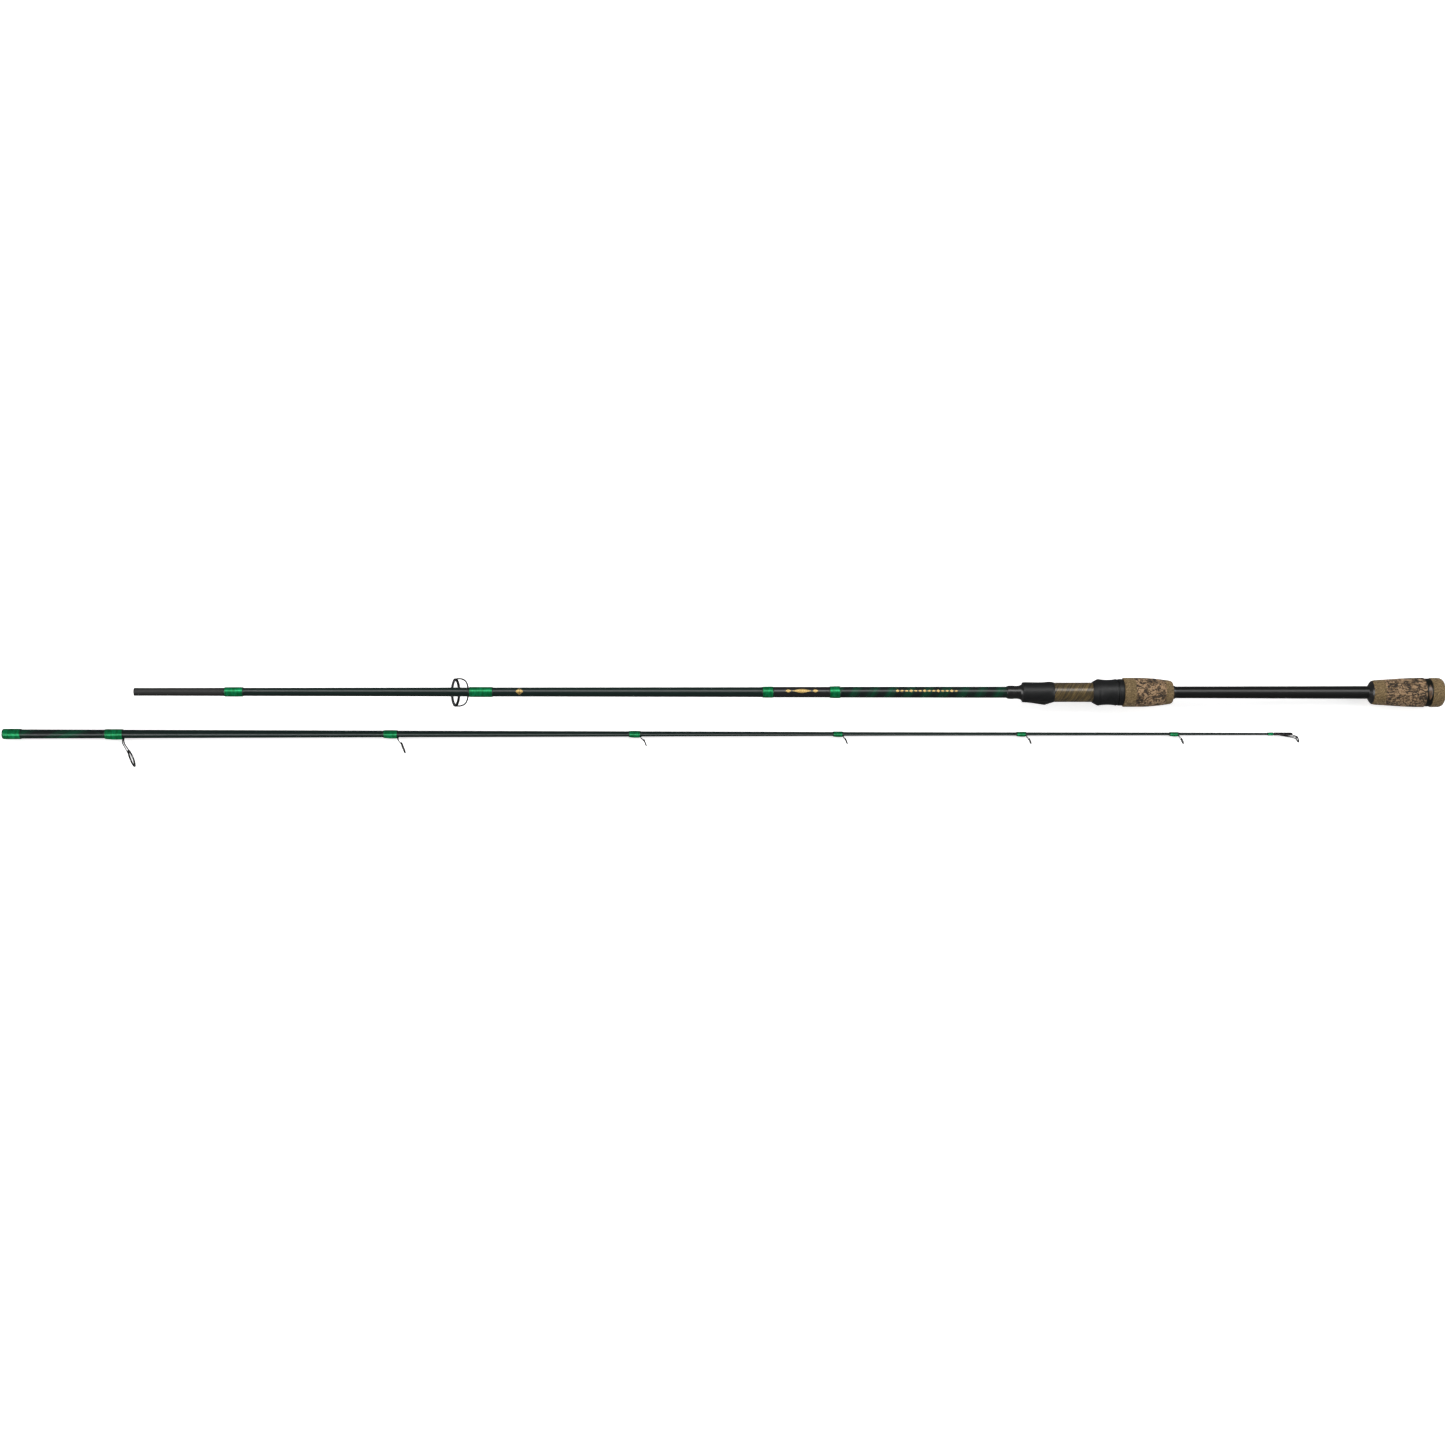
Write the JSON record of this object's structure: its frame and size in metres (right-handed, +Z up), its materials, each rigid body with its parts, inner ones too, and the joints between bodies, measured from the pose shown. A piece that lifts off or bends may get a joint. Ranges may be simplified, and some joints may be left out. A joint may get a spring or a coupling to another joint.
{
  "type": "spinning rod",
  "caption": "Two-piece fishing rod taken apart: a butt section with split grip and screw-locked reel seat, and a tip section with ringed line guides and a ferrule socket.",
  "frame": {"origin": "on the surface the sections lie on, under the middle of the whole object's box", "axes": "+X along the rod sections towards the handle, +Y from the tip section towards the butt section, +Z up"},
  "size_m": [1.2898, 0.0798, 0.0573],
  "materials": {
    "carbon_blank": "clear-coated carbon fibre, dark green-black; satin on the ferrule and between the grips",
    "green_thread": "metallic green thread under epoxy resin",
    "guide_frame": "dark bright-plated stainless steel",
    "guide_ceramic": "polished dark ceramic",
    "label_black": "gloss black under clear resin",
    "trim_black": "gloss black",
    "seat_black": "soft-touch matt black",
    "woven_pipe": "gold-brown and black weave under clear coat",
    "thread_metal": "dark anodised",
    "bushing_foam": "moulded",
    "camo_cork": "pressed cork rubber with a camouflage print, matt",
    "burl_cork": "speckled cork, matt",
    "ring_dark": "dark anodised, satin",
    "inlay_brown": "brown enamel",
    "button_grey": "moulded",
    "plug_black": "moulded"
  },
  "bodies": {
    "butt_section": {"butt_blank": "carbon_blank", "ferrule_winding": "green_thread", "butt_guide_frame": "guide_frame", "butt_guide_ring": "guide_ceramic", "butt_guide_winding": "green_thread", "trim_winding_front": "green_thread", "trim_winding_rear": "green_thread", "label_sleeve": "label_black", "winding_check": "trim_black", "fixed_hood": "seat_black", "seat_pipe": "woven_pipe", "threaded_barrel": "thread_metal", "seat_bushings": "bushing_foam", "seat_collar": "trim_black", "fore_grip": "camo_cork", "grip_check": "trim_black", "butt_cone": "trim_black", "butt_grip": "camo_cork", "butt_ring": "ring_dark", "ring_inlay": "inlay_brown", "butt_cap": "burl_cork", "butt_button": "button_grey"},
    "moving_hood": {"moving_hood": "seat_black"},
    "locking_nut": {"locking_nut": "seat_black"},
    "ferrule_plug": {"ferrule_plug": "plug_black"},
    "tip_socket": {"socket_winding": "green_thread"},
    "tip_section": {"tip_blank": "carbon_blank", "guide_1_frame": "guide_frame", "guide_1_ring": "guide_ceramic", "guide_1_winding": "green_thread", "guide_2_frame": "guide_frame", "guide_2_ring": "guide_ceramic", "guide_2_winding": "green_thread", "guide_3_frame": "guide_frame", "guide_3_ring": "guide_ceramic", "guide_3_winding": "green_thread", "guide_4_frame": "guide_frame", "guide_4_ring": "guide_ceramic", "guide_4_winding": "green_thread", "guide_5_frame": "guide_frame", "guide_5_ring": "guide_ceramic", "guide_5_winding": "green_thread", "guide_6_frame": "guide_frame", "guide_6_ring": "guide_ceramic", "guide_6_winding": "green_thread", "tip_top_frame": "guide_frame", "tip_top_ring": "guide_ceramic", "tip_top_winding": "green_thread"}
  },
  "joints": [
    {"name": "hood_slide", "type": "slide", "parent": "butt_section", "child": "moving_hood", "axis": [-0.9994, 0, 0.0351], "range_m": [0, 0.01201]},
    {"name": "nut_turn", "type": "hinge", "parent": "moving_hood", "child": "locking_nut", "pos_m": [0.34167, 0.02681, 0.02386], "axis": [-0.9994, 0, 0.0351], "range_deg": [0, 2880]},
    {"name": "ferrule_slide", "type": "slide", "parent": "butt_section", "child": "ferrule_plug", "axis": [0.9994, 0, -0.0351], "range_m": [0, 0.079]},
    {"name": "tip_swing", "type": "hinge", "parent": "ferrule_plug", "child": "tip_socket", "pos_m": [-0.58282, 0.00875, 0.03026], "axis": [-0.0108, 0.8104, -0.5857], "range_deg": [0, 181.54]},
    {"name": "tip_twist", "type": "hinge", "parent": "tip_socket", "child": "tip_section", "pos_m": [-0.64491, -0.01029, 0.00506], "axis": [-1, 0, 0.0019], "range_deg": [0, 151.76]}
  ],
  "couplings": [
    {"joint": "hood_slide", "follows": "nut_turn", "m_per_rad": 0.00023873}
  ]
}
